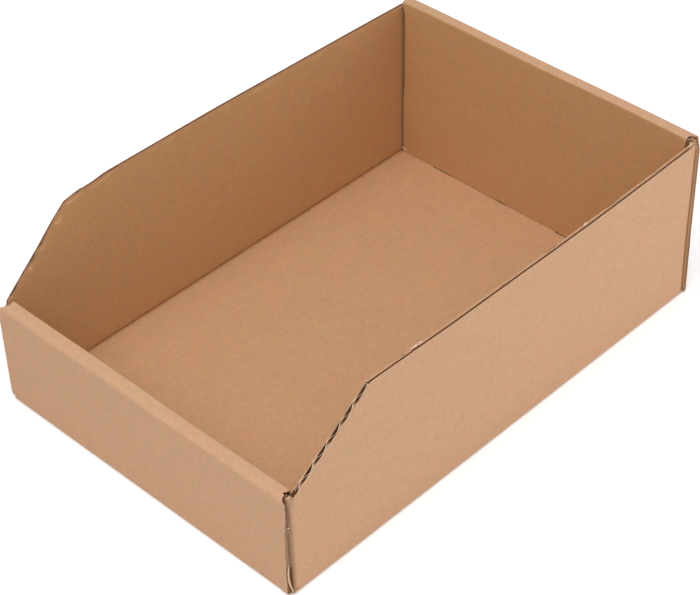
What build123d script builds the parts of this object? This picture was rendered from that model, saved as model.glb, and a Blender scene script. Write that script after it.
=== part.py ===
"""Open-fronted tray, die cut from one sheet of corrugated board and folded up.

The base carries two side walls, which are cut down on a slant towards the low front.
Front and rear walls are double: each outer panel turns over two creases into a rolled
edge, comes down again as an inner panel, and locks its tabs into slots in the base.
A flap at each end of each side wall is folded in and trapped inside the double wall.
Millimetres; +Y runs to the rear, +X to the right, and the base stands on Z = 0.
"""
import os
from math import atan2, cos, degrees, pi, radians, sin

from build123d import *

# Outside sizes of the folded tray
length = 296.0
width = 200.0
side_height = 98.0
rear_height = 102.0
front_height = 62.0

# The board, with the waved sheet between its two flat liners
board = 2.8
liner = 0.4
wave_sheet = 0.35
flute_pitch = 6.45
first_flute = 1.6
pressed_board = 2.2

# Slant of the side walls, measured back from the front face and down from the front's rolled edge
slant_start = 54.0
slant_foot_drop = 1.2

# The side walls stand nearly square where the double walls hold their ends, and bow out between.
# Leans are in degrees; fullness is 2 for a plain arch and more for a flatter one; forward is 0
# where the bow is even and more where it lies towards the front.
end_lean = 0.2
right_lean = 1.47
right_forward = 0.0
left_lean = 2.17
left_forward = 0.5
bow_fullness = 2.5
wall_stations = 9

# Double walls: thickness over the rolled edge and at the foot
roll_width = 7.7
foot_width = 9.8
inner_panel_side_gap = 1.4
foot_gap = 0.25
relief_radius = 4.0
roll_gap = 0.8
roll_inset = 1.5
roll_taper = 6.0

# Tabs of the inner panels, and their slots in the base
lock_spacing = 90.0
slot_length = 55.0
slot_clearance = 0.3
tab_length = 36.0
tab_shift = 2.2
tab_lift = 0.4
tab_corner = 1.0

# Trapped flaps
front_flap_reach = 58.0
rear_flap_reach = 72.0
flap_clearance = 0.15
flap_slit = 0.4
flap_taper = 6.0
flap_corner = 8.0

# Cut edges: a groove where the cut runs along the flutes, open mouths where it crosses them
groove_depth = 1.2
roll_end_depth = 2.0
mouth_depth = 6.0
glue_line = 0.18

# The left wall's upper front corner is knocked flat, from before the corner to behind it
bruise_before = 4.0
bruise_behind = 7.0

# Places that follow from the sizes
front_face = -length / 2
side_face = width / 2
side_crease = side_face - board
end_crease = length / 2 - board
inner_edge = side_crease - inner_panel_side_gap
flap_crease = end_crease - flap_clearance - board
slant_foot = (-flap_crease, front_height - slant_foot_drop)
slant_head = (front_face + slant_start, side_height)
beyond = 5.0


def fold(centre, start, end, inside, outside):
    """Section of the board where it turns about a crease, between two angles in degrees."""
    rim = CenterArc(centre, outside, start, end - start)
    if inside == 0:
        return make_face([rim, Line(rim @ 1, centre), Line(centre, rim @ 0)])
    core = CenterArc(centre, inside, start, end - start)
    return make_face([rim, core, Line(rim @ 0, core @ 0), Line(rim @ 1, core @ 1)])


def across(section, half_span):
    """A section in the YZ plane, carried across the tray equally to both sides."""
    return extrude(Plane.YZ * section, amount=half_span, both=True)


def lean_angle(height):
    """How far an inner panel leans in from its rolled edge to its foot, in radians."""
    return atan2(foot_width - roll_width, height - 2 * board)


def rolled_section(height, skin=0):
    """Section of the outer panel and the rolled edge at the front, less a skin on both faces."""
    near, far = skin, board - skin
    first = (front_face + board, height - board)
    second = (front_face + roll_width - board, height - board)
    thickness = far - near
    panel = Pos(front_face + board / 2, height / 2) * Rectangle(thickness, height - 2 * board)
    top = Pos(front_face + roll_width / 2, height - board / 2) * Rectangle(roll_width - 2 * board, thickness)
    turn_over = fold(first, 90, 180, near, far)
    turn_down = fold(second, degrees(lean_angle(height)), 90, near, far)
    return panel + top + turn_over + turn_down


def inner_section(height, lowest, skin=0):
    """Section of the inner panel at the front, from its crease down to a given height."""
    lean = lean_angle(height)
    crease = Vector(front_face + roll_width - board, height - board)
    out = Vector(cos(lean), sin(lean))
    down = Vector(sin(lean), -cos(lean)) * ((height - board - lowest) / cos(lean))
    near, far = crease + out * skin, crease + out * (board - skin)
    return make_face(Polyline(near, far, far + down, near + down, close=True))


def end_form(height, trim=0):
    """Space that an outer panel and its rolled edge keep to, less a trim at both sides."""
    edge = side_face - trim
    roll_edge = edge - roll_inset
    roll_foot = height - board
    side = [(edge, board), (edge, roll_foot - roll_taper), (roll_edge, roll_foot), (roll_edge, height)]
    front_view = make_face(Polyline(*side, *[(-x, z) for x, z in reversed(side)], close=True))
    front_view = fillet(front_view.vertices().group_by(Axis.Y)[0], relief_radius)
    inner_crease = front_face + roll_width - board
    shoulder = side_crease - flap_clearance - trim
    side = [(edge, front_face), (edge, -end_crease), (shoulder, -end_crease), (inner_edge - trim, inner_crease),
            (inner_edge - trim, inner_crease + board)]
    plan = make_face(Polyline(*side, *[(-x, y) for x, y in reversed(side)], close=True))
    return extrude(Plane.XZ * front_view, amount=length) & extrude(plan, amount=height)


def end_wall(height):
    """The double wall at the front: base fold, outer panel, rolled edge, inner panel and tabs."""
    outer = across(rolled_section(height), side_face) & end_form(height)
    inner = across(inner_section(height, board + foot_gap), inner_edge)
    tab = across(inner_section(height, tab_lift), tab_length / 2)
    tab_feet = tab.edges().filter_by(Axis.Y, tolerance=5).group_by(Axis.Z)[0]
    tab = fillet(tab_feet, tab_corner)
    tabs = [Pos(tab_shift + side * lock_spacing / 2, 0, 0) * tab for side in (-1, 1)]
    base_fold = across(fold((-end_crease, board), 180, 270, 0, board), side_crease)
    outer -= across(rolled_section(height, liner), width) - end_form(height, roll_end_depth)
    split = inner_section(height, board, liner)
    inner -= across(split, width) - across(split, inner_edge - groove_depth)
    return base_fold + outer + inner + tabs


def lock_slots():
    """Cutters for the front pair of slots in the base."""
    near = front_face + foot_width - board - slot_clearance
    far = front_face + foot_width + slot_clearance
    cutter = Box(slot_length, far - near, 3 * board)
    return [Pos(side * lock_spacing / 2, (near + far) / 2, 0) * cutter for side in (-1, 1)]


def flap_shoulder(height):
    """Height at which the double wall has become wide enough to hold a pressed flap."""
    tight = pressed_board + 2 * flap_clearance - (roll_width - 2 * board)
    wedge = (foot_width - roll_width) / (height - 2 * board)
    return height - board - flap_slit - max(tight, 0) / wedge


def corner_flap(height, wall_top, reach):
    """Vertical fold and trapped flap at the front end of the right wall."""
    lean = radians(end_lean)
    outward = (cos(lean), 0, -sin(lean))
    inward = (-cos(lean), 0, sin(lean))
    upward = (sin(lean), 0, cos(lean))
    crown = (wall_top - board) / cos(lean)
    under_roll = min(crown, height - 2 * board - roll_gap)
    shoulder = flap_shoulder(height) - board
    bend = Plane((side_crease, -flap_crease, board), x_dir=outward, z_dir=upward).offset(flap_slit)
    bend = extrude(bend * fold((0, 0), -90, 0, 0, board), amount=crown - flap_slit)
    neck = inner_panel_side_gap - flap_clearance
    outline = Polyline(
        (0, flap_slit), (reach, flap_slit + flap_taper / 2), (reach, shoulder - flap_taper),
        (neck, shoulder), (neck, under_roll), (0, under_roll), close=True)
    sheet = make_face(outline)
    sheet = fillet(sheet.vertices().group_by(Axis.X)[-1], flap_corner)
    face = Plane((side_crease, -flap_crease - board, board), x_dir=inward, z_dir=(0, 1, 0))
    return bend + extrude(face * sheet, amount=pressed_board)


def lean_along(y, middle_lean, forward):
    """Lean of a side wall at a distance along the tray, in radians."""
    place = y / flap_crease
    bow = (1 - abs(place) ** bow_fullness) * (1 - forward * place)
    return radians(end_lean + (middle_lean - end_lean) * bow)


def wall_slab(bow, near, far, low, high, start=-flap_crease, end=flap_crease):
    """Bowed slab of the right wall, between two depths in the board and two heights up it."""
    sections = []
    for k in range(wall_stations):
        y = start + (end - start) * k / (wall_stations - 1)
        lean = lean_along(y, *bow)
        crease = Vector(side_crease, board)
        out = Vector(cos(lean), -sin(lean))
        up = Vector(sin(lean), cos(lean))
        corners = [crease + out * n + up * s for n, s in ((near, low), (far, low), (far, high), (near, high))]
        sections.append(Plane.XZ.offset(-y) * make_face(Polyline(*corners, close=True)))
    return loft(sections, ruled=True)


def side_wall(bow):
    """The right side wall with its base fold, slant, open flutes and two corner flaps."""
    outline = Polyline(
        (-flap_crease, board), (flap_crease, board), (flap_crease, side_height), slant_head, slant_foot, close=True)
    wall = wall_slab(bow, 0, board, 0, side_height) & extrude(Plane.YZ * make_face(outline), amount=width)
    base_fold = extrude(Plane.XZ * fold((side_crease, board), -90, 0, 0, board), amount=end_crease, both=True)
    front = corner_flap(front_height, slant_foot[1], front_flap_reach)
    rear = corner_flap(rear_height, side_height, rear_flap_reach)
    crown = side_height - board
    groove = wall_slab(bow, liner, board - liner, crown - groove_depth, crown + beyond,
                       start=slant_head[0] - groove_depth, end=end_crease)
    return wall + base_fold + front + mirror(rear, about=Plane.XZ) - groove - flute_mouths(bow)


def flute_mouths(bow):
    """Openings between the waved sheet and the two liners, along the slanted edge."""
    run_per_rise = (slant_head[0] - slant_foot[0]) / (slant_head[1] - slant_foot[1])
    swing = (board - 2 * liner - wave_sheet) / 2
    half = flute_pitch * (1 - glue_line) / 2
    steps = [half * k / 4 for k in range(-4, 5)]
    depths = [liner + swing * (1 + cos(2 * pi * step / flute_pitch)) for step in steps]
    mouths = []
    middle = slant_foot[1] + first_flute
    inner_side = True
    while middle + half < side_height:
        wave = [(middle - board + step, depth) for step, depth in zip(steps, depths)]
        outline = [(wave[0][0], liner), *wave, (wave[-1][0], liner)]
        if not inner_side:
            outline = [(s, board - n) for s, n in outline]
        cut_at = slant_foot[0] + (middle - slant_foot[1]) * run_per_rise
        reach = half * run_per_rise
        lean = lean_along(cut_at, *bow)
        section = Plane((side_crease, cut_at - reach - board, board), x_dir=(sin(lean), 0, cos(lean)), z_dir=(0, 1, 0))
        mouth = section * make_face(Polyline(*outline, close=True))
        mouths.append(extrude(mouth, amount=2 * reach + board + mouth_depth))
        middle += flute_pitch / 2
        inner_side = not inner_side
    return mouths


def bruise():
    """Cutter for the knocked corner of the left wall."""
    y, z = slant_head
    fall = (slant_head[1] - slant_foot[1]) / (slant_head[0] - slant_foot[0])
    outline = Polyline(
        (y - bruise_before, z - bruise_before * fall), (y + bruise_behind, z),
        (y + bruise_behind, z + beyond), (y - bruise_before, z + beyond), close=True)
    return extrude(Plane.YZ * make_face(outline), amount=-width)


def tray():
    """The folded tray as one piece."""
    floor = Pos(0, 0, board / 2) * Box(2 * side_crease, 2 * end_crease, board)
    slots = lock_slots()
    floor -= slots + [mirror(slot, about=Plane.XZ) for slot in slots]
    front = end_wall(front_height)
    rear = mirror(end_wall(rear_height), about=Plane.XZ)
    right = side_wall((right_lean, right_forward))
    left = mirror(side_wall((left_lean, left_forward)), about=Plane.YZ) - bruise()
    return floor + front + rear + right + left


os.makedirs("parts", exist_ok=True)
tray_body = tray()
export_step(tray_body, "parts/tray_body.step")
print("tray_body:", len(tray_body.solids()), "solid,", round(tray_body.volume), "cubic mm")
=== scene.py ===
# %% [markdown]
# # An open-fronted parts tray of corrugated board
# The real tray is one die-cut sheet, folded up and locked with its own tabs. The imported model
# already has every fold, slot and open flute in its place, so this lesson keeps that form and
# adds what makes it look like board: paper fibres, the faint lines of the flutes under the
# paper, torn nicks, crushed ends and the light that a white table throws back.

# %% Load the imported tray
import math

import bmesh
import bpy
from mathutils import Matrix, Vector, noise


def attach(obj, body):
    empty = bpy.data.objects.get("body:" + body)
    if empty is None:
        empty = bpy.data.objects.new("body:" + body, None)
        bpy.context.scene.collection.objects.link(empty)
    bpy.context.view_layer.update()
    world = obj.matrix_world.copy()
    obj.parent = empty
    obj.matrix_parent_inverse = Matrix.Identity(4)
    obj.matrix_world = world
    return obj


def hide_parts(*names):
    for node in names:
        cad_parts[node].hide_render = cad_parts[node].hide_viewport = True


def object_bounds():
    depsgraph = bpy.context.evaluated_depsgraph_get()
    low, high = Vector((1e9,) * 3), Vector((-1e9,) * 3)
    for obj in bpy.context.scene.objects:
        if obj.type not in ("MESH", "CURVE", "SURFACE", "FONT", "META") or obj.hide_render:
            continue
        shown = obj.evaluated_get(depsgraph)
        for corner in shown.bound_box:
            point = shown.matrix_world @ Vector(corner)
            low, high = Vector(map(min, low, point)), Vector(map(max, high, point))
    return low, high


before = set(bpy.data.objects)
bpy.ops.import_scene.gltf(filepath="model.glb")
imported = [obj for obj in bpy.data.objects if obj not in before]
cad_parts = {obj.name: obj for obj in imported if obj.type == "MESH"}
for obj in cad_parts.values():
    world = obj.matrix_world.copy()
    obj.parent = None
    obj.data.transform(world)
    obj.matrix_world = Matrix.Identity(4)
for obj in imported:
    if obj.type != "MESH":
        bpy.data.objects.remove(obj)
cad_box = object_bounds()
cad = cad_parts["tray_body"]
MM = 0.001
print("packed tray:", [round(v / MM, 1) for v in cad_box[1] - cad_box[0]], "mm")

# %% [markdown]
# ## Sizes that the finish has to meet
# The flutes, the board's thickness and the height of the walls are real sizes of the tray.
# The finish lines up with them, so they're named here once, in metres.

# %% Sizes of the board and the tray
BOARD = 2.8 * MM
FLUTE_PITCH = 6.45 * MM
WALL_TOP = 98 * MM
REAR_TOP = cad_box[1].z
HALF_LENGTH = cad_box[1].y
HALF_WIDTH = 100 * MM
print("board", BOARD / MM, "mm thick, flutes every", FLUTE_PITCH / MM, "mm")

# %% [markdown]
# ## Camera
# The photograph was taken with a long lens from high up and to the right of the open front.
# The lens is given as its focal length in picture widths. The small shift and roll keep the
# photograph's framing. The camera comes first, because every later choice is judged through it.

# %% Camera at the photograph's viewing angle
PICTURE_WIDTH = 700
FOCAL_LENGTH = 2084
CENTRE = (367.6, 308.1)
PICTURE_CENTRE = (350, 297.5)
AZIMUTH = math.radians(44.62)
ELEVATION = math.radians(40.13)
ROLL = math.radians(-1.56)
CAMERA_PLACE = (0.5773, -0.5770, 0.7119)
SENSOR = 36


def add_camera():
    """A camera that looks down at the tray, turned by a small roll about its own axis."""
    back = Vector((math.sin(AZIMUTH) * math.cos(ELEVATION),
                   -math.cos(AZIMUTH) * math.cos(ELEVATION), math.sin(ELEVATION)))
    level = Vector((math.cos(AZIMUTH), math.sin(AZIMUTH), 0))
    upright = back.cross(level)
    right = level * math.cos(ROLL) + upright * math.sin(ROLL)
    camera = bpy.data.objects.new("camera", bpy.data.cameras.new("camera"))
    bpy.context.collection.objects.link(camera)
    turn = Matrix((right, back.cross(right), back)).transposed().to_4x4()
    camera.matrix_world = Matrix.Translation(CAMERA_PLACE) @ turn
    camera.data.sensor_width = SENSOR
    camera.data.lens = FOCAL_LENGTH / PICTURE_WIDTH * SENSOR
    camera.data.shift_x = (PICTURE_CENTRE[0] - CENTRE[0]) / PICTURE_WIDTH
    camera.data.shift_y = (CENTRE[1] - PICTURE_CENTRE[1]) / PICTURE_WIDTH
    camera.data.clip_start = 0.05
    bpy.context.scene.camera = camera
    return camera


camera = add_camera()
shift = (round(camera.data.shift_x, 3), round(camera.data.shift_y, 3))
print("lens", round(camera.data.lens, 1), "mm, shift", shift)

# %% [markdown]
# ## Node helpers
# Every material below is a small graph of nodes. Five helpers keep the graphs short. They add a
# node and set its inputs, do one step of arithmetic, mix two colours, carry a value from one
# range to another, and start a node group with named sockets.


# %% Helpers for node graphs
def add_node(tree, kind, inputs=None, **settings):
    """A node of a kind, with its settings, and with values or links for its inputs."""
    node = tree.nodes.new(kind)
    for name, value in settings.items():
        setattr(node, name, value)
    for name, value in (inputs or {}).items():
        if isinstance(value, bpy.types.NodeSocket):
            tree.links.new(value, node.inputs[name])
        else:
            node.inputs[name].default_value = value
    return node


def calculate(tree, operation, a, b=0.0):
    """The result socket of one arithmetic step."""
    return add_node(tree, "ShaderNodeMath", {0: a, 1: b}, operation=operation).outputs[0]


def blend_colour(tree, share, a, b):
    """The colour socket of a mix from a to b."""
    node = add_node(tree, "ShaderNodeMix", data_type="RGBA")
    for socket, value in ((node.inputs[0], share), (node.inputs[6], a), (node.inputs[7], b)):
        if isinstance(value, bpy.types.NodeSocket):
            tree.links.new(value, socket)
        else:
            socket.default_value = value
    return node.outputs[2]


def remap(tree, value, low, high, to_low=0.0, to_high=1.0):
    """A value carried smoothly from one range to another, and held at both ends."""
    node = add_node(tree, "ShaderNodeMapRange", interpolation_type="SMOOTHSTEP")
    for name, number in (("From Min", low), ("From Max", high), ("To Min", to_low), ("To Max", to_high)):
        node.inputs[name].default_value = number
    tree.links.new(value, node.inputs["Value"])
    return node.outputs["Result"]


def new_group(name, inputs, outputs):
    """An empty node group with named sockets; returns it with its input and output nodes."""
    group = bpy.data.node_groups.new(name, "ShaderNodeTree")
    for label, kind, default in inputs:
        socket = group.interface.new_socket(label, in_out="INPUT", socket_type=kind)
        if default is not None:
            socket.default_value = default
    for label, kind in outputs:
        group.interface.new_socket(label, in_out="OUTPUT", socket_type=kind)
    return group, group.nodes.new("NodeGroupInput"), group.nodes.new("NodeGroupOutput")


print("node helpers ready")

# %% [markdown]
# ## White table and backdrop
# The photograph's ground is pure white. A white floor that is lit enough to look white would
# drown the tray in light, so the floor is an ordinary white surface that glows a little for the
# camera alone. Its shadow stays, because the glow is added to the lit surface. Further out the
# lamps reach less of the floor, so the glow grows with the distance. There's no glow under the
# tray, or it would shine up through the slots of the base.

# %% Floor that looks white and keeps the shadow
FLOOR_SIZE = 6
FLOOR_WHITE = (0.90, 0.90, 0.90, 1)
FLOOR_GLOW = 0.30
FAR_GLOW = 0.75
GLOW_SPAN = (0.7, 2.6)
DARK_MARGIN = 4 * MM
FLOOR_DROP = 0.05 * MM


def floor_material():
    """White paper that glows for the camera, but not under the tray."""
    material = bpy.data.materials.new("white_table")
    material.use_nodes = True
    tree = material.node_tree
    tree.nodes.clear()
    paths = add_node(tree, "ShaderNodeLightPath")
    seen = calculate(tree, "MAXIMUM", paths.outputs["Is Camera Ray"], paths.outputs["Is Glossy Ray"])
    seen = calculate(tree, "MAXIMUM", seen, paths.outputs["Is Transmission Ray"])
    where = add_node(tree, "ShaderNodeTexCoord").outputs["Object"]
    away = add_node(tree, "ShaderNodeVectorMath", {0: where}, operation="LENGTH").outputs["Value"]
    level = remap(tree, away, *GLOW_SPAN, FLOOR_GLOW, FAR_GLOW)
    place = add_node(tree, "ShaderNodeSeparateXYZ", {0: where})
    beside = []
    for axis, half in ((0, HALF_WIDTH), (1, HALF_LENGTH)):
        distance = calculate(tree, "ABSOLUTE", place.outputs[axis])
        beside.append(remap(tree, distance, half - DARK_MARGIN, half))
    seen = calculate(tree, "MULTIPLY", seen, calculate(tree, "MAXIMUM", *beside))
    glow = add_node(tree, "ShaderNodeEmission", {"Strength": calculate(tree, "MULTIPLY", seen, level)})
    paper = add_node(tree, "ShaderNodeBsdfDiffuse", {"Color": FLOOR_WHITE})
    both = add_node(tree, "ShaderNodeAddShader", {0: paper.outputs[0], 1: glow.outputs[0]})
    add_node(tree, "ShaderNodeOutputMaterial", {"Surface": both.outputs[0]})
    return material


def add_floor():
    """A square floor just below the tray, marked as stage."""
    bm = bmesh.new()
    bmesh.ops.create_grid(bm, x_segments=1, y_segments=1, size=FLOOR_SIZE / 2)
    mesh = bpy.data.meshes.new("floor")
    bm.to_mesh(mesh)
    bm.free()
    floor = bpy.data.objects.new("floor", mesh)
    bpy.context.collection.objects.link(floor)
    floor.location.z = -FLOOR_DROP
    mesh.materials.append(floor_material())


add_floor()
print("floor", FLOOR_SIZE, "m wide")

# %% [markdown]
# ## Light
# Soft light from nearly all round is what a product tent gives. The world is an even pale dome.
# A large softbox overhead, towards the open front, lights the base and the rolled edges. A low
# lamp stands to the right of the rear corner, where the long wall is brightest, and it can't
# reach over that wall into the tray. The white floor throws light back up at the walls.

# %% World and lamps
DOME_STRENGTH = 0.52
SOFTBOX = {"power": 15.8, "size": 1.4, "place": Vector((0.25, -0.5, 1.3))}
LOW_LAMP = {"power": 1.85, "size": 0.5, "place": Vector((0.7, 0.4, 0.12))}


def add_lamp(name, power, size, place):
    """A square lamp that faces the tray and isn't seen itself."""
    lamp = bpy.data.objects.new(name, bpy.data.lights.new(name, "AREA"))
    bpy.context.collection.objects.link(lamp)
    lamp.data.size = size
    lamp.data.energy = power
    lamp.location = place
    lamp.rotation_mode = "QUATERNION"
    lamp.rotation_quaternion = place.to_track_quat("Z", "Y")
    lamp.visible_camera = False


def add_world():
    """An even dome for the light, and plain white where the camera looks past the floor."""
    world = bpy.data.worlds.new("tent")
    bpy.context.scene.world = world
    world.use_nodes = True
    tree = world.node_tree
    tree.nodes.clear()
    paths = add_node(tree, "ShaderNodeLightPath")
    seen = calculate(tree, "MAXIMUM", paths.outputs["Is Camera Ray"], paths.outputs["Is Glossy Ray"])
    seen = calculate(tree, "MAXIMUM", seen, paths.outputs["Is Transmission Ray"])
    strength = remap(tree, seen, 0, 1, DOME_STRENGTH, 1)
    dome = add_node(tree, "ShaderNodeBackground", {"Strength": strength})
    add_node(tree, "ShaderNodeOutputWorld", {"Surface": dome.outputs[0]})


add_world()
add_lamp("softbox", **SOFTBOX)
add_lamp("low_lamp", **LOW_LAMP)
bpy.context.scene.view_settings.view_transform = "Standard"
print("dome", DOME_STRENGTH, "softbox", SOFTBOX["power"], "W, low lamp", LOW_LAMP["power"], "W")

# %% [markdown]
# ## Paper
# Kraft liner isn't one brown. It has clouds a few centimetres wide where the pulp lay thicker,
# fine fibres, and pale and dark specks of recycled stock. One node group makes all of that from
# Object coordinates, so the liner, the cut edges and the torn tufts share the same pulp.


# %% Node group for kraft pulp
CLOUD_SCALES = {"wide": 22, "patch": 170, "fine": 520, "fibre": 2400}
WIDE_DRIFT = 0.006
CHANNEL_DRIFTS = (((0, 0, 0), 0.031), ((5, 3, 1), 0.024), ((2, 9, 4), 0.031))
DARK_SPECK = (0.30, 0.17, 0.09, 1)
PALE_SPECK = (0.84, 0.68, 0.52, 1)
SPECK_KINDS = ((DARK_SPECK, 260, 0.15, 0.05), (PALE_SPECK, 330, 0.16, 0.022))
SPECK_STRENGTH = 0.6


def drift(tree, place, scale, detail, amount):
    """A noise that strays evenly to both sides of nought, at most by an amount."""
    cloud = add_node(tree, "ShaderNodeTexNoise", {"Vector": place, "Scale": scale, "Detail": detail})
    return cloud, remap(tree, cloud.outputs["Fac"], 0.25, 0.75, -amount, amount)


def speck_mask(tree, place, scale, size, share):
    """Small round specks in a share of the cells of a grid."""
    cells = add_node(tree, "ShaderNodeTexVoronoi", {"Vector": place, "Scale": scale, "Randomness": 1.0})
    chance = add_node(tree, "ShaderNodeSeparateColor", {"Color": cells.outputs["Color"]})
    dot = remap(tree, cells.outputs["Distance"], size * 0.4, size, 1, 0)
    chosen = remap(tree, chance.outputs[0], 1 - share, 1 - share * 0.8, 0, 1)
    return calculate(tree, "MULTIPLY", dot, chosen)


def pulp_group():
    """Clouds, fibres and specks of kraft paper, as a colour and as a height."""
    group, given, result = new_group(
        "kraft_pulp",
        [("Vector", "NodeSocketVector", None), ("Color", "NodeSocketColor", None),
         ("Clouds", "NodeSocketFloat", 1.0), ("Specks", "NodeSocketFloat", 1.0)],
        [("Color", "NodeSocketColor"), ("Height", "NodeSocketFloat")])
    place = given.outputs["Vector"]
    tones = []
    for shift, amount in CHANNEL_DRIFTS:
        moved = add_node(group, "ShaderNodeVectorMath", {0: place, 1: shift}, operation="ADD").outputs[0]
        wide = drift(group, moved, CLOUD_SCALES["wide"], 2, WIDE_DRIFT)[1]
        patch = drift(group, moved, CLOUD_SCALES["patch"], 3, amount)[1]
        tones.append(calculate(group, "ADD", wide, patch))
    fine, light = drift(group, place, CLOUD_SCALES["fine"], 3, 0.045)
    fibre, grain = drift(group, place, CLOUD_SCALES["fibre"], 2, 0.06)
    light = calculate(group, "ADD", light, grain)
    shades = []
    for tone in tones:
        step = calculate(group, "ADD", tone, light)
        step = calculate(group, "MULTIPLY", step, given.outputs["Clouds"])
        shades.append(calculate(group, "ADD", step, 1.0))
    shade = add_node(group, "ShaderNodeCombineXYZ", dict(enumerate(shades)))
    toned = add_node(group, "ShaderNodeVectorMath", {0: given.outputs["Color"], 1: shade.outputs[0]},
                     operation="MULTIPLY").outputs[0]
    for colour, scale, size, share in SPECK_KINDS:
        dots = speck_mask(group, place, scale, size, share)
        dots = calculate(group, "MULTIPLY", dots, given.outputs["Specks"])
        toned = blend_colour(group, calculate(group, "MULTIPLY", dots, SPECK_STRENGTH), toned, colour)
    group.links.new(toned, result.inputs["Color"])
    height = calculate(group, "ADD", fine.outputs["Fac"], fibre.outputs["Fac"])
    group.links.new(height, result.inputs["Height"])
    return group


kraft_pulp = pulp_group()
print("kraft pulp has", len(kraft_pulp.nodes), "nodes")

# %% [markdown]
# ## Flutes that show through the paper
# The liner is glued to the crests of the waved sheet, and dips a few hundredths of a millimetre
# between them. Low light picks that up as a washboard. The flutes run the length of the blank:
# along the base and side walls, and up the front and rear walls. So the lines are counted up
# the side walls, and across everything else.


# %% Node group for the washboard
BEND_SCALE = 18
WANDER = 0.8


def washboard_group():
    """A wave across the flutes, from an object's coordinates and normal."""
    group, given, result = new_group(
        "washboard",
        [("Vector", "NodeSocketVector", None), ("Normal", "NodeSocketVector", None)],
        [("Wave", "NodeSocketFloat")])
    place = add_node(group, "ShaderNodeSeparateXYZ", {0: given.outputs["Vector"]})
    facing = add_node(group, "ShaderNodeSeparateXYZ", {0: given.outputs["Normal"]})
    sideways = remap(group, calculate(group, "ABSOLUTE", facing.outputs[0]), 0.6, 0.8)
    bend = add_node(group, "ShaderNodeTexNoise",
                    {"Vector": given.outputs["Vector"], "Scale": BEND_SCALE, "Detail": 1})
    across = add_node(group, "ShaderNodeMix", {0: sideways, 2: place.outputs[0], 3: place.outputs[2]})
    wander = calculate(group, "MULTIPLY", bend.outputs["Fac"], WANDER)
    turns = calculate(group, "MULTIPLY_ADD", across.outputs[0], 2 * math.pi / FLUTE_PITCH)
    group.links.new(wander, turns.node.inputs[2])
    patches = remap(group, bend.outputs["Fac"], 0.45, 0.62, 0.15, 1)
    flat = remap(group, facing.outputs[2], 0.6, 0.8, 0.4, 1)
    wave = calculate(group, "MULTIPLY", calculate(group, "COSINE", turns), patches)
    group.links.new(calculate(group, "MULTIPLY", wave, flat), result.inputs["Wave"])
    return group


washboard = washboard_group()
print("washboard lines every", FLUTE_PITCH / MM, "mm")

# %% [markdown]
# ## Six finishes of one board
# The liner is matt paper. Where it faces into the tray, and on the base inside, its colour is
# painted darker and browner, as painted shade for the brown walls lighting each other. Cut rims are
# the liners' and the wave's own edges: fibres stand up there, so they're paler and rougher. Inside
# the flutes is the waved sheet, of darker stock, painted darker still as shade in the deep flutes.
# Two more are for worn cut edges, crushed and dragged by the knife, and a sixth, the shaded edge,
# is painted shade for cut edges in shadow. They differ only in colour and roughness, so one
# function makes them all, and only the liner gets more nodes.

# %% Materials
LINER_OUTSIDE = (0.600, 0.354, 0.210, 1)
# Painted shade: the next two tones are the liner made darker and browner where it looks into the tray and
# on the base inside, for the brown walls lighting each other.
SHADED_WALL_LINER = (0.555, 0.308, 0.140, 1)
SHADED_BASE_LINER = (0.560, 0.320, 0.170, 1)
CUT_RIM = (0.66, 0.44, 0.28, 1)
# The waved sheet's darker stock, painted darker still as shade for the deep flutes; the same finish is
# painted shade in shaded hollows of the cut edges.
WAVED_SHEET_SHADE = (0.24, 0.11, 0.05, 1)
CRUSHED_EDGE = (0.40, 0.24, 0.145, 1)
DRAGGED_EDGE = (0.53, 0.30, 0.17, 1)
# Painted shade: a darker colour for cut edges that lie in shadow, where their fibres shade themselves.
SHADED_EDGE_COLOUR = (0.37, 0.185, 0.09, 1)
WASHBOARD_DEPTH = 0.03 * MM
GRAIN_DEPTH = 0.05 * MM


def paper_material(name, colour, clouds, specks, roughness, bump):
    """A matt kraft material; returns it with its tree, shader and the parts that others use."""
    material = bpy.data.materials.new(name)
    material.use_nodes = True
    tree = material.node_tree
    tree.nodes.clear()
    where = add_node(tree, "ShaderNodeTexCoord")
    pulp = add_node(tree, "ShaderNodeGroup", node_tree=kraft_pulp)
    tree.links.new(where.outputs["Object"], pulp.inputs["Vector"])
    pulp.inputs["Clouds"].default_value = clouds
    pulp.inputs["Specks"].default_value = specks
    pulp.inputs["Color"].default_value = colour
    shader = add_node(tree, "ShaderNodeBsdfPrincipled",
                      {"Roughness": roughness, "Specular IOR Level": 0.25})
    tree.links.new(pulp.outputs["Color"], shader.inputs["Base Color"])
    grain = add_node(tree, "ShaderNodeBump", {"Strength": bump, "Distance": GRAIN_DEPTH,
                                              "Height": pulp.outputs["Height"]})
    tree.links.new(grain.outputs[0], shader.inputs["Normal"])
    add_node(tree, "ShaderNodeOutputMaterial", {"Surface": shader.outputs[0]})
    return material, tree, where, pulp, grain


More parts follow.
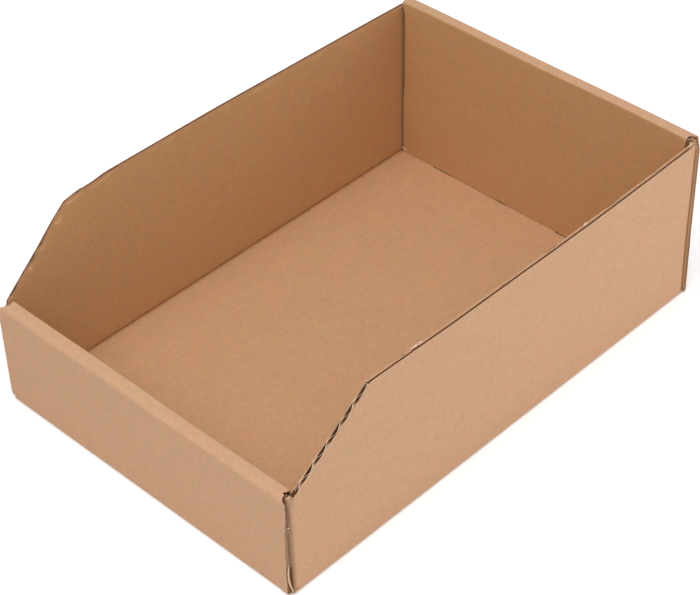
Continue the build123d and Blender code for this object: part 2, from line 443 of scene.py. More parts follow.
def liner_material():
    """Liner paper with painted shade, browner and darker where it faces into the tray and on the base
    inside, with the flutes faintly showing.
    """
    material, tree, where, pulp, grain = paper_material("kraft_liner", LINER_OUTSIDE, 1, 1, 0.82, 0.35)
    place = add_node(tree, "ShaderNodeSeparateXYZ", {0: where.outputs["Object"]})
    facing = add_node(tree, "ShaderNodeSeparateXYZ", {0: where.outputs["Normal"]})
    outward = []
    for axis, half in ((0, HALF_WIDTH), (1, HALF_LENGTH)):
        share = calculate(tree, "DIVIDE", place.outputs[axis], half)
        outward.append(calculate(tree, "MULTIPLY", facing.outputs[axis], share))
    # Painted shade: faces that look into the tray blend to the darker wall tone, and the base inside to
    # the darker base tone.
    inward_shade = remap(tree, calculate(tree, "ADD", *outward), -0.3, -0.8, 0, 1)
    level = remap(tree, facing.outputs[2], 0.5, 0.9, 0, 1)
    low = remap(tree, place.outputs[2], 4 * MM, 10 * MM, 1, 0)
    tone = blend_colour(tree, inward_shade, LINER_OUTSIDE, SHADED_WALL_LINER)
    tone = blend_colour(tree, calculate(tree, "MULTIPLY", level, low), tone, SHADED_BASE_LINER)
    tree.links.new(tone, pulp.inputs["Color"])
    lines = add_node(tree, "ShaderNodeGroup", node_tree=washboard)
    tree.links.new(where.outputs["Object"], lines.inputs["Vector"])
    tree.links.new(where.outputs["Normal"], lines.inputs["Normal"])
    dips = add_node(tree, "ShaderNodeBump", {"Strength": 1.0, "Distance": WASHBOARD_DEPTH,
                                             "Height": lines.outputs["Wave"]})
    tree.links.new(dips.outputs[0], grain.inputs["Normal"])
    return material


liner = liner_material()
rim = paper_material("cut_rim", CUT_RIM, 1.6, 0.6, 0.9, 0.8)[0]
waved_sheet_shade = paper_material("waved_sheet_shade", WAVED_SHEET_SHADE, 1.5, 0.3, 0.9, 0.6)[0]
crushed = paper_material("crushed_edge", CRUSHED_EDGE, 1.6, 1.0, 0.9, 0.8)[0]
dragged = paper_material("dragged_edge", DRAGGED_EDGE, 1.2, 0.5, 0.9, 0.6)[0]
shaded_edge_finish = paper_material("shaded_edge", SHADED_EDGE_COLOUR, 1.2, 0.5, 0.9, 0.6)[0]
FINISHES = [liner, rim, waved_sheet_shade, crushed, dragged, shaded_edge_finish]
LINER, RIM, WAVE_SHADE, CRUSHED, DRAGGED, SHADED_EDGE = range(len(FINISHES))
print("finishes:", [finish.name for finish in FINISHES])

# %% [markdown]
# ## The blank, sorted into liner, rim and flute
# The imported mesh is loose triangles. A copy is merged first. Then faces are gathered into
# regions that flow into each other across gentle angles. A big region is a liner, because it
# runs over every fold without a break. A small one that borders a liner for much of its length
# is a cut rim, and the rest lies between the liners, where the flutes are.

# %% Copy the tray and find its regions
MERGE = 0.001 * MM
GENTLE = math.radians(46)
BIG_AREA = 15e-4
RIM_SHARE = 0.2


def regions_of(bm):
    """Lists of faces that join each other across edges of a gentle angle."""
    found, seen = [], set()
    for start in bm.faces:
        if start in seen:
            continue
        seen.add(start)
        waiting, region = [start], []
        while waiting:
            face = waiting.pop()
            region.append(face)
            for edge in face.edges:
                if len(edge.link_faces) != 2 or edge.calc_face_angle() > GENTLE:
                    continue
                for other in edge.link_faces:
                    if other not in seen:
                        seen.add(other)
                        waiting.append(other)
        found.append(region)
    return found


def border_share(region, liner_faces):
    """The share of a region's border that runs along a liner."""
    inside = set(region)
    border = along = 0
    for face in region:
        for edge in face.edges:
            others = [other for other in edge.link_faces if other not in inside]
            if others:
                length = edge.calc_length()
                border += length
                along += length * (others[0] in liner_faces)
    return along / max(border, MERGE)


def sort_faces(bm):
    """Gives each face the index of its finish: liner, cut rim, or wave between the liners."""
    regions = regions_of(bm)
    big = [sum(face.calc_area() for face in region) > BIG_AREA for region in regions]
    liner_faces = {face for region, is_big in zip(regions, big) if is_big for face in region}
    counts = [0, 0, 0]
    for region, is_big in zip(regions, big):
        finish = LINER if is_big else RIM if border_share(region, liner_faces) > RIM_SHARE else WAVE_SHADE
        counts[finish] += 1
        for face in region:
            face.material_index = finish
    return counts


board = bmesh.new()
board.from_mesh(cad.data)
bmesh.ops.remove_doubles(board, verts=board.verts, dist=MERGE)
print("faces", len(board.faces), "regions of liner, rim and inside:", sort_faces(board))

# %% [markdown]
# ## Room for soft shapes
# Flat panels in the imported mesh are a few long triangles, which can't bend and which pick up
# streaks in smooth shading. Cutting the mesh along a grid of planes leaves the form as it is,
# and gives it enough points for the slight waviness of real board.

# %% Cut the board along a grid
CELL = 8 * MM
CUT_MERGE = 0.02 * MM


def cut_plane(bm, geometry, axis, at):
    """Cuts part of a mesh by one plane that stands across an axis."""
    place, across = Vector(), Vector()
    place[axis] = at
    across[axis] = 1
    bmesh.ops.bisect_plane(bm, geom=geometry, dist=CUT_MERGE, plane_co=place, plane_no=across)


def cut_all(bm, axis, at):
    """Cuts a whole mesh by one plane."""
    cut_plane(bm, bm.verts[:] + bm.edges[:] + bm.faces[:], axis, at)


def cut_along(bm, axis, low, high, step):
    """Cuts a whole mesh by planes that stand across an axis, a step apart."""
    count = int((high - low) / step)
    for number in range(1, count + 1):
        cut_all(bm, axis, low + number * (high - low) / (count + 1))


for axis in range(3):
    cut_along(board, axis, cad_box[0][axis], cad_box[1][axis], CELL)
print("after the cuts", len(board.faces), "faces")

# %% [markdown]
# ## Finer cuts where the small shapes are
# The torn and crushed places are only a few millimetres wide, and the grid is too coarse for
# them. A finer grid all over would waste faces, so four small boxes are cut again: the near
# corner's cut edge, the right end of the front roll, the foot of the right slant and the nick in
# the right wall's top edge.

# %% Cut the small boxes again
EDGE_STEP = 1.6 * MM
NEAR_STRIP = (Vector((93, -149, -1)) * MM, Vector((101.5, -144.6, 64)) * MM)
ROLL_END = (Vector((88, -149, 55)) * MM, Vector((101.5, -138.5, 64)) * MM)
SLANT_END = (Vector((97, -145.2, 60)) * MM, Vector((100.6, -139, 63.6)) * MM)
TOP_NICK = (Vector((96, -69, 88)) * MM, Vector((104, -58, 99)) * MM)
FINE_CUTS = ((NEAR_STRIP, 2, EDGE_STEP), (NEAR_STRIP, 1, 0.8 * MM), (ROLL_END, 0, EDGE_STEP),
             (ROLL_END, 1, EDGE_STEP), (SLANT_END, 0, 0.45 * MM), (SLANT_END, 1, 0.6 * MM),
             (TOP_NICK, 1, 1.0 * MM))


def in_box(point, low, high):
    """Whether a point lies inside a box that is given by two corners."""
    return all(least < value < most for least, value, most in zip(low, point, high))


def cut_region(bm, low, high, axis, step):
    """Cuts only the faces inside a box, by planes across one axis."""
    count = int((high[axis] - low[axis]) / step)
    for number in range(1, count):
        inside = [face for face in bm.faces if in_box(face.calc_center_median(), low, high)]
        parts = dict.fromkeys(part for face in inside for part in (*face.verts, *face.edges, face))
        cut_plane(bm, list(parts), axis, low[axis] + number * (high[axis] - low[axis]) / count)


for box, axis, step in FINE_CUTS:
    cut_region(board, *box, axis, step)
print("after the finer cuts", len(board.faces), "faces")

# %% [markdown]
# ## Lines beside the creases
# The blank is scored where it folds, so that the inner liner buckles into the board instead of
# kinking anywhere. To show that at the foot of the side walls, the mesh needs lines of points
# close beside each crease: four on the base and two on the wall.

# %% Cut the lines beside the creases
CREASE_X = HALF_WIDTH - BOARD
BASE_SLOPE = 3.2 * MM
WALL_SLOPE = 1.0 * MM
BASE_LINES = (0.12, 0.3, 0.55, 1)
WALL_LINES = (0.45, 1)

for side in (-1, 1):
    for part in BASE_LINES:
        cut_all(board, 0, side * (CREASE_X - part * BASE_SLOPE))
for part in WALL_LINES:
    cut_all(board, 2, BOARD + part * WALL_SLOPE)
print("after the lines", len(board.faces), "faces")

# %% [markdown]
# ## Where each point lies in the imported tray
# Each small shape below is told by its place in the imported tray. So every point's first place is
# kept, and each step reads that place and adds its own small move, whatever the steps before it
# did. The side walls bow outwards, so the outermost points of their cut edges are read off the
# mesh once. They tell how deep in its wall any other point lies.

# %% Keep the first places and read the cut edges
SLANT_TOP = -94 * MM
SLANT_RISE = 0.7716
WALL_INNER = 94 * MM
ON_EDGE = 0.1 * MM
EDGE_REACH = 2.5 * MM


def between(points, value):
    """A value read off a line of points, held at both ends."""
    for (low, at_low), (high, at_high) in zip(points, points[1:]):
        if value <= high:
            share = max(0.0, (value - low) / (high - low))
            return at_low + share * (at_high - at_low)
    return points[-1][1]


def cut_height(y):
    """Height of a side wall's cut edge at a place along the tray."""
    return min(WALL_TOP, WALL_TOP + (y - SLANT_TOP) * SLANT_RISE)


def outer_edges(points):
    """For each side, the outermost points of the cut edge, as (y, distance from the middle)."""
    lines = {}
    for side in (-1, 1):
        on_cut = sorted((start.y, side * start.x) for start in points.values()
                        if abs(start.z - cut_height(start.y)) < ON_EDGE and side * start.x > WALL_INNER)
        lines[side] = [(y, max(x for other, x in on_cut if abs(other - y) < EDGE_REACH))
                       for y, _ in on_cut]
    return lines


def depth_in_wall(point, lines):
    """A point's side of the tray, and how deep it lies in that side wall from the outer face."""
    side = 1 if point.x > 0 else -1
    top = between(lines[side], point.y)
    lean = (top - HALF_WIDTH) * (point.z - BOARD) / (cut_height(point.y) - BOARD)
    return side, HALF_WIDTH + lean - abs(point.x)


rest = {vert: vert.co.copy() for vert in board.verts}
edges = outer_edges(rest)
print("points", len(rest), "of them on the cut edges", len(edges[-1]), "left and", len(edges[1]), "right")

# %% [markdown]
# ## Waviness of board
# Folded board is never quite flat. A very low, wide noise moves both liners together, so the
# thickness stays. It fades out at the underside, which lies flat on the table. A modifier with a
# texture could do the same, but a few lines of code can fade it out exactly where it has to.
# Blender's vector noise takes its seed from the clock unless one is set, and then the board
# would come out a little different in every run. So the seed is set first.

# %% Soften the panels
WAVINESS = 0.45 * MM
WAVE_LENGTH = 70 * MM
WAVE_SHIFT = Vector((3.1, 7.7, 1.3))
WAVE_SEED = 1
STILL_HEIGHT = 4 * MM
RISE_HEIGHT = 25 * MM


def soften(points):
    """Moves every point a little by a wide noise, less towards the underside."""
    for vert, start in points.items():
        rise = min(1, max(0, (start.z - STILL_HEIGHT) / RISE_HEIGHT))
        move = noise.noise_vector(start / WAVE_LENGTH + WAVE_SHIFT) * WAVINESS * rise
        move.z *= 0.5
        vert.co += move


noise.seed_set(WAVE_SEED)
soften(rest)
print("waviness up to", WAVINESS / MM, "mm")

# %% [markdown]
# ## Scored creases
# Along the foot of each side wall the crease shows as a thin dark line, with the base sloping
# down to it over a few millimetres. Paint could only darken it. Pressing the points into the
# board by their distance from the crease lets the light make the line, from every side.

# %% Press the creases beside the base
CREASE_DEPTH = 0.95 * MM
CREASE_END = 6 * MM
BASE_CURVE = 2.2
WALL_CURVE = 1.5
WALL_PART = 0.8
NEAR = 0.06 * MM


def press_creases(points):
    """Presses the inner liner into the board along the foot of both side walls."""
    for vert, start in points.items():
        gap = CREASE_X - abs(start.x)
        if abs(start.y) > HALF_LENGTH - CREASE_END:
            continue
        if abs(start.z - BOARD) < NEAR and -NEAR < gap < BASE_SLOPE:
            share = 1 - max(gap, 0) / BASE_SLOPE
            vert.co.z -= CREASE_DEPTH * share ** BASE_CURVE
        if abs(start.z - BOARD) < WALL_SLOPE and abs(gap) < NEAR:
            share = 1 - (start.z - BOARD) / WALL_SLOPE
            vert.co.x += math.copysign(CREASE_DEPTH * WALL_PART * share ** WALL_CURVE, start.x)


press_creases(rest)
print("creases", CREASE_DEPTH / MM, "mm deep at x =", CREASE_X / MM, "mm")

# %% [markdown]
# ## Bends of the rolled edges
# Folds are sharper where a hand pressed them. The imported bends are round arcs. Their points are
# carried out to a superellipse, which keeps the two flat faces and tightens the corner between
# them. A bevel couldn't do this, because it only takes material away.

# %% Tighten the inner bends
ROLL_WIDTH = 7.7 * MM
FRONT_TOP = 62 * MM
BEND_SHARPNESS = 6
ON_BEND = (0.97, 1.03)


def sharpen_bends(points):
    """Pushes the inner crease of both rolled edges out towards its corner."""
    middle_y = HALF_LENGTH - ROLL_WIDTH + BOARD
    for end, top in ((-1, FRONT_TOP), (1, REAR_TOP)):
        for vert, start in points.items():
            along = (middle_y - end * start.y) / BOARD
            up = (start.z - (top - BOARD)) / BOARD
            if along < 0 or up < 0 or not ON_BEND[0] < math.hypot(along, up) < ON_BEND[1]:
                continue
            reach = (along ** BEND_SHARPNESS + up ** BEND_SHARPNESS) ** (-1 / BEND_SHARPNESS) - 1
            vert.co.y -= end * along * reach * BOARD
            vert.co.z += up * reach * BOARD


sharpen_bends(rest)
print("bends with a sharpness of", BEND_SHARPNESS)

# %% [markdown]
# ## Feet of the end walls
# At the right-hand corners the end walls' cut edges come down to the table, and the rear one is
# rounded by wear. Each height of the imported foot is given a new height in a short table, and the
# points between take their share.

# %% Stand the right-hand feet on the table
FOOT_HEIGHTS = ((0, 0), (2.8, 0.3), (6.8, 1.4), (10, 10))
NEAR_FOOT_HEIGHTS = ((0, 1.1), (2.8, 1.3), (6.8, 2.2), (10, 10))
FOOT_TOP = 10 * MM
FOOT_START = 94.5 * MM
FOOT_BLEND = 2.6 * MM
FOOT_ROUNDING = 9 * MM
FOOT_TUCK = 0.8


def stand_feet(points):
    """Brings the right-hand feet of the end walls down to the table, and rounds the rear one."""
    for vert, start in points.items():
        out = abs(start.y) - (HALF_LENGTH - BOARD)
        if start.x < FOOT_START or out < NEAR or start.z > FOOT_TOP:
            continue
        if start.x < CREASE_X - NEAR and start.z < BOARD - NEAR:
            continue
        share = min(1, (start.x - FOOT_START) / FOOT_BLEND)
        heights = NEAR_FOOT_HEIGHTS if start.y < 0 else FOOT_HEIGHTS
        vert.co.z += (between(heights, start.z / MM) * MM - start.z) * share
        if start.y > 0:
            vert.co.y -= FOOT_TUCK * out * share * max(0, 1 - start.z / FOOT_ROUNDING) ** 2


stand_feet(rest)
print("feet brought down over", FOOT_TOP / MM, "mm")

# %% [markdown]
# ## Front of the left wall
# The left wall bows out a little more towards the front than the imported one. The corner between
# its top and its slant was knocked round, and the front roll sinks at that end. The bow and the
# lift are short tables along the wall, so that each bump can be matched by itself.

# %% Bow the left wall and sink the roll's end
LEFT_WALL = -90 * MM
BOW_END = -70 * MM
LEFT_BOW = ((-145, 0), (-128, 0.6), (-110, 0.8), (-96, 0.7), (-86, 0))
LEFT_LIFT = ((-120, 0), (-108, 0.6), (-98, 0.5), (-92, 0.2), (-88, -0.5), (-84, -1.3), (-80, -1.1),
             (-72, 0))
LIFT_DEPTH = 4 * MM
ROLL_SAG = 3.4 * MM
SAG_START = -93 * MM
SAG_LENGTH = 7 * MM
SAG_BACK = -142.5 * MM
SAG_LOW = 52 * MM
SAG_HEIGHT = 10 * MM


def bow_left_wall(points):
    """Bows the front of the left wall out a little more, and rounds its knocked corner."""
    for vert, start in points.items():
        if start.x > LEFT_WALL or start.y > BOW_END:
            continue
        if start.x < SAG_START and start.y < SAG_BACK and start.z > SAG_LOW:
            sag = ((SAG_START - start.x) / SAG_LENGTH) ** 2 * (start.z - SAG_LOW) / SAG_HEIGHT
            vert.co.z -= ROLL_SAG * sag
            continue
        top = cut_height(start.y)
        vert.co.x -= between(LEFT_BOW, start.y / MM) * MM * min(1, start.z / top) ** 2
        vert.co.z += between(LEFT_LIFT, start.y / MM) * MM * max(0, 1 - (top - start.z) / LIFT_DEPTH)


bow_left_wall(rest)
print("left wall bowed, roll sunk by up to", ROLL_SAG / MM, "mm")

# %% [markdown]
# ## Flute openings of the side walls
# Where a knife cuts across the flutes it drags the liner over them. Along the top only a groove
# is left. On the right slant the openings stay wide, and on the left slant they are short dark
# ticks. Each opening is narrowed by drawing its inner side towards the outer liner, and a share
# says how much of it is kept.

# %% Close the flute openings
SLANT_FOOT = -145.2 * MM
LAST_OPENING = 2.6 * MM
RIGHT_GROOVE = 0.55
LEFT_GROOVE = 0.35
LEFT_FLUTES = 0.4
CLOSED = 0.1
GROOVE_RISE = 0.5 * MM
GROOVE_LIP = 0.9 * MM
NICK_PLACE = -64.2 * MM
NICK_REACH = 2 * MM
NICK_OPEN = 0.9
CREST_HEIGHT = 75.3 * MM
TICK = (0.08, 0.62)
MOUTH_HEIGHT = (-0.2 * MM, 7 * MM)
MOUTH_DEPTH = (0.3 * MM, 2.65 * MM)
MOUTH_START = 0.4 * MM
MOUTH_WIDTH = 2 * MM
END_MARGIN = 2 * MM


def in_tick(height):
    """Whether a flute opening of the left slant is still open at this height."""
    half_turn = ((height - CREST_HEIGHT) / (FLUTE_PITCH / 2)) % 1
    return TICK[0] < half_turn < TICK[1]


def kept_opening(side, start):
    """The share of an opening's width that is kept at a place on a cut edge."""
    if start.y < SLANT_TOP:
        if side < 0:
            return LEFT_FLUTES if in_tick(start.z) else CLOSED
        return CLOSED if start.y < SLANT_FOOT + LAST_OPENING else 1
    if side < 0:
        return LEFT_GROOVE
    return NICK_OPEN if abs(start.y - NICK_PLACE) < NICK_REACH else RIGHT_GROOVE


def close_flutes(points):
    """Draws the inner liner over the flute openings of the side walls, more on the left."""
    for vert, start in points.items():
        below = cut_height(start.y) - start.z
        if abs(start.x) < WALL_INNER or abs(start.y) > HALF_LENGTH - END_MARGIN:
            continue
        if not MOUTH_HEIGHT[0] < below < MOUTH_HEIGHT[1]:
            continue
        side, depth = depth_in_wall(start, edges)
        if not MOUTH_DEPTH[0] < depth < MOUTH_DEPTH[1]:
            continue
        inside = (depth - MOUTH_START) / MOUTH_WIDTH
        vert.co.x += side * inside * MOUTH_WIDTH * (1 - kept_opening(side, start))
        if start.y > SLANT_TOP and below > GROOVE_LIP:
            vert.co.z += GROOVE_RISE


close_flutes(rest)
print("openings kept: groove", RIGHT_GROOVE, "right and", LEFT_GROOVE, "left")

# %% [markdown]
# ## Cut edges of the end walls
# Cut edges get crushed when the box is handled. At the near corner the front panel's edge is set
# back, deepest a fifth of the way up, and the board in it is frayed. The other three edges are
# narrower and straight. A fine noise frays them all, as crushed paper has no straight side.

# %% Set back and crush the upright edges
NEAR_EDGE = ((0, -1.2), (5, -2.5), (12, -3.0), (18, -2.3), (32, -2.1), (39, -1.9), (46, -1.5),
             (52.6, -1.0), (56, -0.2), (59.2, 1.0), (61, 0.0), (62, -1.0))
NEAR_EDGE_START = 88 * MM
NEAR_EDGE_BLEND = 9 * MM
NEAR_CORE = (95.5 * MM, 98.3 * MM)
OTHER_CORE = (95.5 * MM, 98.6 * MM)
CORE_DEPTH = (0.12, 0.88)
FRAY = 0.25 * MM
FRAY_SIZE = 2.2 * MM
ROLLED_ZONE = 5 * MM


def fray(start):
    """A small uneven move for a point of a crushed edge."""
    return noise.noise(start / FRAY_SIZE) * FRAY


def set_back_near_edge(points):
    """Sets the front panel's cut edge back at the near corner, and crushes the board in it."""
    for vert, start in points.items():
        if start.x < NEAR_EDGE_START or start.y > -HALF_LENGTH + BOARD + NEAR:
            continue
        depth = (start.y + HALF_LENGTH) / BOARD
        if CORE_DEPTH[0] < depth < CORE_DEPTH[1] and NEAR_CORE[0] < start.x < NEAR_CORE[1]:
            vert.co.x += (0.75 - 0.5 * depth) * MM + fray(start)
        else:
            back = between(NEAR_EDGE, start.z / MM) * MM
            share = min(1, (start.x - NEAR_EDGE_START) / NEAR_EDGE_BLEND)
            vert.co.x += back * share * share * max(0, 1 - depth) + fray(start) * (0.1 < depth < 0.9)


def crush_other_edges(points):
    """Crushes the board in the end walls' other three cut edges."""
    for vert, start in points.items():
        depth = (abs(start.y) - HALF_LENGTH + BOARD) / BOARD
        if (start.x > 0 and start.y < 0) or start.z > REAR_TOP - ROLLED_ZONE:
            continue
        if CORE_DEPTH[0] < depth < CORE_DEPTH[1] and OTHER_CORE[0] < abs(start.x) < OTHER_CORE[1]:
            vert.co.x += math.copysign((0.1 + 1.9 * depth) * MM + fray(start), start.x)


set_back_near_edge(rest)
crush_other_edges(rest)
print("near edge set back by up to", -min(back for _, back in NEAR_EDGE), "mm")

# %% [markdown]
# ## Rear left corner
# The rear roll's left end reaches over the side wall, and the inner panel below it stands a
# little clear of that wall, so a dark gap shows. The real panel was pushed there as it was
# folded, so its points are moved sideways, more and more towards the wall.

# %% Fit the rear left corner
CORNER_START = -88 * MM
CORNER_BLEND = 6 * MM
CORNER_FRONT = 139 * MM
REAR_ROLL_DEPTH = 3.6 * MM
REAR_ROLL_EDGE = -98.9 * MM
PANEL_BACK = 143.2 * MM
PANEL_EDGE = -96.9 * MM
ROLL_REACH = 1.0 * MM
PANEL_GAP = 0.6 * MM


def fit_rear_left_corner(points):
    """Moves the rear roll's left end over the side wall, and opens the gap below it a little."""
    for vert, start in points.items():
        if start.x > CORNER_START or start.y < CORNER_FRONT:
            continue
        share = min(1, (CORNER_START - start.x) / CORNER_BLEND) ** 2
        if start.z > REAR_TOP - REAR_ROLL_DEPTH and start.x > REAR_ROLL_EDGE:
            vert.co.x -= ROLL_REACH * share
        elif start.y < PANEL_BACK and start.x > PANEL_EDGE:
            vert.co.x += PANEL_GAP * share


fit_rear_left_corner(rest)
print("gap opened by", PANEL_GAP / MM, "mm")

# %% [markdown]
# ## Torn end of the front roll
# At its right end the front roll's outer liner is torn back, and the hollow inside shows. The
# skin of the roll is told from its core by the distance from the roll's middle. Both are drawn
# back, the skin further, and the core straight along.

# %% Tear the roll's right end open
ROLL_TEAR = 1.8 * MM
ROLL_EDGE = ((-147.97, 0), (-147.85, 0.5), (-147.3, 0.8), (-146.3, 1), (-143, 1))
TEAR_START = 90 * MM
TEAR_LENGTH = 8 * MM
TEAR_SPAN = (-147.95 * MM, -143.2 * MM)
TEAR_LOW = 59.3 * MM
SKIN_TOP = 61.5 * MM
ROLL_MIDDLE = (-145.2 * MM, 59.2 * MM)
ROLL_CORE = 2.3 * MM
CORE_LOW = 59.7 * MM


def open_roll_end(points):
    """Tears the outer liner back at the right end of the front roll, so that its hollow shows."""
    for vert, start in points.items():
        if start.x < TEAR_START or not TEAR_SPAN[0] < start.y < TEAR_SPAN[1] or start.z < TEAR_LOW:
            continue
        share = min(1, (start.x - TEAR_START) / TEAR_LENGTH) ** 2
        from_middle = math.hypot(start.y - ROLL_MIDDLE[0], start.z - ROLL_MIDDLE[1])
        if start.z > SKIN_TOP or from_middle > ROLL_CORE:
            turn = between(ROLL_EDGE, start.y / MM)
            vert.co += Vector((-ROLL_TEAR, 0.2 * ROLL_TEAR, 0.2 * ROLL_TEAR)) * turn * share
        elif start.z > CORE_LOW:
            vert.co.x -= 0.7 * ROLL_TEAR * share


open_roll_end(rest)
print("roll torn back by", ROLL_TEAR / MM, "mm")

# %% [markdown]
# ## Foot of the right slant
# The slant ends on an open flute, just behind the torn roll. Its floor is pushed down between
# the two liners, which stay where they are, and the opening narrows towards the front.

# %% Hollow the slant's foot and hold all in the box
SLANT_HOLLOW = 1.8 * MM
FOOT_FLOOR = 60.79 * MM
FOOT_SPAN = (-144.2 * MM, -139.3 * MM)
LAST_FLUTE = (97.7 * MM, 99.75 * MM)
TAPER_START = -142.3 * MM
TAPER = 0.6


def in_last_flute(point, inner, outer):
    """Whether a point lies between the liners of the right slant's last flute."""
    return inner < point.x < outer - max(0, TAPER_START - point.y) * TAPER


def hollow_slant_foot(points):
    """Opens the last flute at the foot of the right slant, between its two liners."""
    for vert, start in points.items():
        top = max(FOOT_FLOOR, cut_height(start.y))
        if not FOOT_SPAN[0] < start.y < FOOT_SPAN[1] or abs(start.z - top) > NEAR:
            continue
        if in_last_flute(start, *LAST_FLUTE):
            vert.co.z -= SLANT_HOLLOW


def hold_in_box(bm):
    """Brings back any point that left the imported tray's box."""
    for vert in bm.verts:
        for axis in range(3):
            vert.co[axis] = min(max(vert.co[axis], cad_box[0][axis]), cad_box[1][axis])


hollow_slant_foot(rest)
hold_in_box(board)
print("sculpted", len(rest), "points")

# %% [markdown]
# ## Finishes of the worn and shaded places
# Crushed and dragged places look different from a clean cut. Places of the cut edges in shadow get
# dark finishes as painted shade, and lit crests of the right slant a pale one as painted highlight.
# They could be painted with masks in one material, but the cut edge is only a few faces wide. So
# each face of it gets the index of a finish by where it lay in the imported tray.

# %% Finishes at the torn roll and the end walls
EDGE_FINISH_START = 93 * MM
SLIVER_TOP = 19 * MM
SIDEWAYS = 0.3
LAST_FLUTE_FACES = (97.6 * MM, 99.8 * MM)


def box_of(low, high):
    """Two corners of a box in millimetres, as metres."""
    return [value * MM for value in low], [value * MM for value in high]


ROLL_MOUTH = box_of((0, -149, 59.4), (98.2, -144.4, 103))
FOOT_BOX = box_of((97, -144.4, 60.6), (110, -139, 63.4))
PANEL_TOP = box_of((95.4, -147.6, 58.5), (110, -145.25, 61.5))


def finish_by_the_roll(finish, middle):
    """The finish at the torn roll and the right slant's foot, or None elsewhere; its dark wave finish is
    the waved sheet with painted shade in their hollows.
    """
    if finish == RIM and in_box(middle, *ROLL_MOUTH):
        return WAVE_SHADE
    if in_box(middle, *FOOT_BOX):
        return WAVE_SHADE if in_last_flute(middle, *LAST_FLUTE_FACES) else RIM
    return WAVE_SHADE if in_box(middle, *PANEL_TOP) else None


def finish_of_end_wall(finish, middle, normal):
    """The finish of an end wall's cut edge: mostly crushed, with the dark wave finish as painted shade
    where the edge lies in shadow.
    """
    if finish == RIM:
        return CRUSHED if abs(middle.y) < HALF_LENGTH - BOARD / 2 else RIM
    # Painted shade: below the sliver's top the near corner's cut edge gets the dark wave finish, for the
    # shadow beside the loose sliver.
    if middle.x > 0 and middle.y < 0:
        return WAVE_SHADE if middle.z < SLIVER_TOP else CRUSHED
    return CRUSHED if abs(normal.x) > SIDEWAYS else WAVE_SHADE


print("boxes with their own finish: roll mouth, slant's foot and panel's top")

# %% [markdown]
# ## Finishes along the side walls
# On the right slant the part of each crest that faces the light gets the pale rim finish, as a
# painted highlight. On the left slant all but the ticks gets the shaded edge, as painted shade.
# The rim that faces into the tray was dragged by the knife on the right, and gets the shaded
# edge, painted shade, on the left.

# %% Finishes of the side walls, and all of them given out
LIGHT_SHARE = 0.3
LIT_SIDE = 0.2
LIT_DEPTH = 2.2 * MM
SIDE_LOW = 58 * MM
FOOT_REACH = 4 * MM
DRAGGED_WIDTH = 0.6 * MM
REAR_ROLL_ZONE = 6 * MM


def finish_of_slant(middle, normal):
    """The finish between the liners of a slant: a painted highlight on the crests on the right, ticks and
    painted shade on the left.
    """
    # Painted shade: on the left slant the ticks get the dark wave finish and the rest the shaded edge.
    if middle.x < 0:
        return WAVE_SHADE if in_tick(middle.z) else SHADED_EDGE
    depth = depth_in_wall(middle, edges)[1]
    turn = ((middle.z - CREST_HEIGHT) / FLUTE_PITCH) % 1
    # Painted highlight: faces of each crest that turn to the light, near the outer liner, get the pale
    # rim finish.
    return RIM if normal.x > LIT_SIDE and depth < LIT_DEPTH and turn < LIGHT_SHARE else WAVE_SHADE


def finish_of_side_rim(middle):
    """The finish of a side wall's cut liners."""
    # Painted shade: the left wall's cut liners get the shaded edge.
    if middle.x < 0:
        return SHADED_EDGE
    on_top = middle.y > SLANT_TOP and middle.x < HALF_WIDTH + DRAGGED_WIDTH
    return DRAGGED if on_top or middle.y < SLANT_FOOT + FOOT_REACH else RIM


def finish_for_wear_and_painted_light(finish, middle, normal):
    """The finish that a face of a cut edge gets, for its wear and as painted shade and painted highlight.
    """
    by_the_roll = finish_by_the_roll(finish, middle)
    if by_the_roll is not None:
        return by_the_roll
    on_rear_roll = middle.y > HALF_LENGTH - ROLL_WIDTH and middle.z > REAR_TOP - REAR_ROLL_ZONE
    if middle.x > 0 and on_rear_roll:
        return CRUSHED if finish == WAVE_SHADE else finish
    if abs(middle.y) > HALF_LENGTH - BOARD - NEAR:
        return finish_of_end_wall(finish, middle, normal)
    if middle.z < SIDE_LOW:
        return finish
    if finish == RIM:
        return finish_of_side_rim(middle)
    return finish_of_slant(middle, normal) if middle.y < SLANT_TOP else finish


def mark_wear_and_painted_light(bm):
    """Gives crushed and dragged places on the cut edges their own finish, and shaded and lit places their
    painted shade and painted highlight.
    """
    counts = {}
    for face in bm.faces:
        middle = sum((rest[vert] for vert in face.verts), Vector()) / len(face.verts)
        if face.material_index == LINER or abs(middle.x) < EDGE_FINISH_START:
            continue
        finish = finish_for_wear_and_painted_light(face.material_index, middle, face.normal)
        if finish != face.material_index:
            face.material_index = finish
            counts[finish] = counts.get(finish, 0) + 1
    return counts


board.normal_update()
print("faces with a changed finish:", mark_wear_and_painted_light(board))

# %% [markdown]
# ## The board in the scene
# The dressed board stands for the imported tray, and rides with it. The angles between its faces
# say which edges stay sharp. Long flat faces lead the shading, or the small ones along the cuts
# would tilt the light on the panels.

# %% Put the sorted board in the scene
SHARP_ANGLE = math.radians(40)


def add_piece(name, bm, materials, replaces=None):
    """A finished mesh that rides with the tray."""
    mesh = bpy.data.meshes.new(name)
    bm.to_mesh(mesh)
    bm.free()
    for material in materials:
        mesh.materials.append(material)
    mesh.shade_smooth()
    mesh.set_sharp_from_angle(angle=SHARP_ANGLE)
    piece = bpy.data.objects.new(name, mesh)
    bpy.context.collection.objects.link(piece)
    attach(piece, "root")
    if replaces:
        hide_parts(replaces)
    return piece


tray = add_piece("folded_board", board, FINISHES, "tray_body")
weights = tray.modifiers.new("flat faces lead the shading", "WEIGHTED_NORMAL")
weights.keep_sharp = True
print(tray.name, len(tray.data.polygons), "faces")

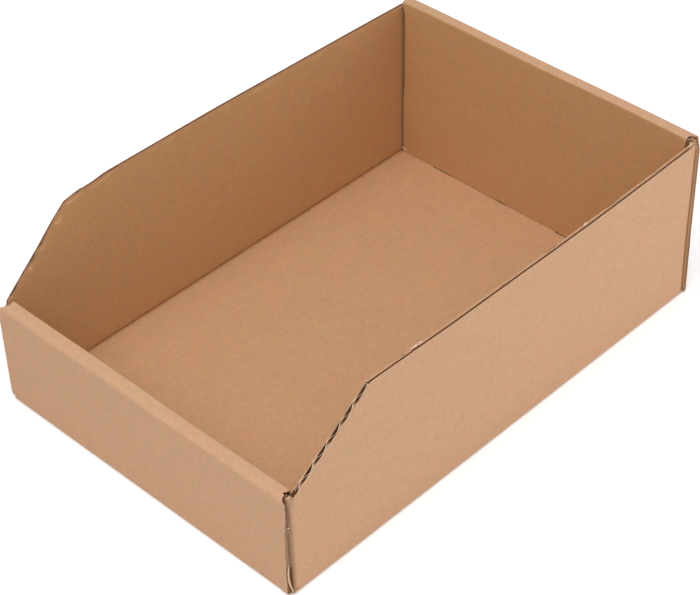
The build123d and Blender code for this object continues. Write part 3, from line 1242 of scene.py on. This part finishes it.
# %% [markdown]
# ## Torn scraps
# Where the blank was held in its sheet by small nicks, it tore when it was pushed out, and left
# fluffy scraps of liner. Four stand on the right wall's top edge and two in the near corner. A
# longer chip leans at the foot of the rear left corner. Each starts as a ball, is stretched to
# its size, and a noise roughs it up.

# %% Tufts of torn liner
TORN_PAPER = (0.74, 0.53, 0.38, 1)
ROUGHNESS = 0.45
ROUGH_SCALE = 1.7
TUFTS = (
    ((99.75, -65.3, 98.0), (0.42, 1.5, 0.45), -0.1),
    ((99.85, -62.9, 98.1), (0.50, 1.4, 0.50), 0.15),
    ((99.75, -60.0, 98.0), (0.45, 1.2, 0.42), -0.2),
    ((100.2, 56.3, 98.2), (0.55, 1.5, 0.55), 0.1),
    ((-94.6, 138.5, 4.3), (2.5, 0.45, 0.8), 0),
    ((99.5, -146.5, 44.5), (0.4, 0.35, 0.5), 0),
    ((99.1, -146.3, 41.8), (0.25, 0.3, 0.3), 0),
)
torn = paper_material("torn_paper", TORN_PAPER, 1.6, 0.4, 0.95, 0.9)[0]


def tuft(bm, place, size, turn):
    """A rough scrap of paper fibre, longer than it is wide."""
    made = bmesh.ops.create_icosphere(bm, subdivisions=3, radius=1)["verts"]
    for vert in made:
        rough = 1 + ROUGHNESS * noise.noise(vert.co * ROUGH_SCALE + place / MM)
        vert.co = Vector([a * b * rough for a, b in zip(vert.co, size)])
    bmesh.ops.rotate(bm, verts=made, matrix=Matrix.Rotation(turn, 3, "Z"))
    bmesh.ops.translate(bm, verts=made, vec=place)


scraps = bmesh.new()
for place, size, turn in TUFTS:
    tuft(scraps, Vector(place) * MM, Vector(size) * MM, turn)
tufts = add_piece("torn_tufts", scraps, [torn])
print(tufts.name, len(tufts.data.polygons), "faces")

# %% [markdown]
# ## Sliver of liner
# At the near corner's foot a thin strip of liner has come loose and curls out of the crushed
# edge. A narrow grid is laid along a short path with its own width at each point, then gets the
# liner's thickness, and a smooth subdivision rounds it.

# %% Sliver of liner at the near corner
SLIVER_PATH = (((99.1, -147.3, 21.0), 0.1), ((99.2, -147.5, 19.3), 0.5), ((98.9, -147.7, 15.2), 0.75),
               ((99.1, -147.6, 10.4), 0.8), ((99.5, -147.2, 7.3), 0.8), ((99.9, -146.6, 4.6), 0.6),
               ((100, -146.3, 2.4), 0.2))
SLIVER_THICK = 0.3 * MM
SLIVER_ACROSS = Vector((0.8, 0.6, 0))
SLIVER_BULGE = Vector((0.1, -0.12, 0))


def sliver():
    """A thin ribbon of liner that follows a curve, pointed at both ends."""
    bm = bmesh.new()
    bmesh.ops.create_grid(bm, x_segments=len(SLIVER_PATH) - 1, y_segments=2, size=0.5)
    rows = sorted(bm.verts, key=lambda vert: (round(vert.co.x, 3), vert.co.y))
    for number, vert in enumerate(rows):
        place, width = SLIVER_PATH[number // 3]
        across = SLIVER_ACROSS * (number % 3 - 1) * width / 2
        bulge = SLIVER_BULGE * (number % 3 == 1)
        vert.co = (Vector(place) + across + bulge) * MM
    bmesh.ops.recalc_face_normals(bm, faces=bm.faces)
    bmesh.ops.solidify(bm, geom=bm.faces[:], thickness=SLIVER_THICK)
    bmesh.ops.recalc_face_normals(bm, faces=bm.faces)
    bmesh.ops.subdivide_edges(bm, edges=bm.edges[:], cuts=1, use_grid_fill=True, smooth=0.4)
    return bm


curl = add_piece("liner_sliver", sliver(), [torn])
print(curl.name, len(curl.data.polygons), "faces")
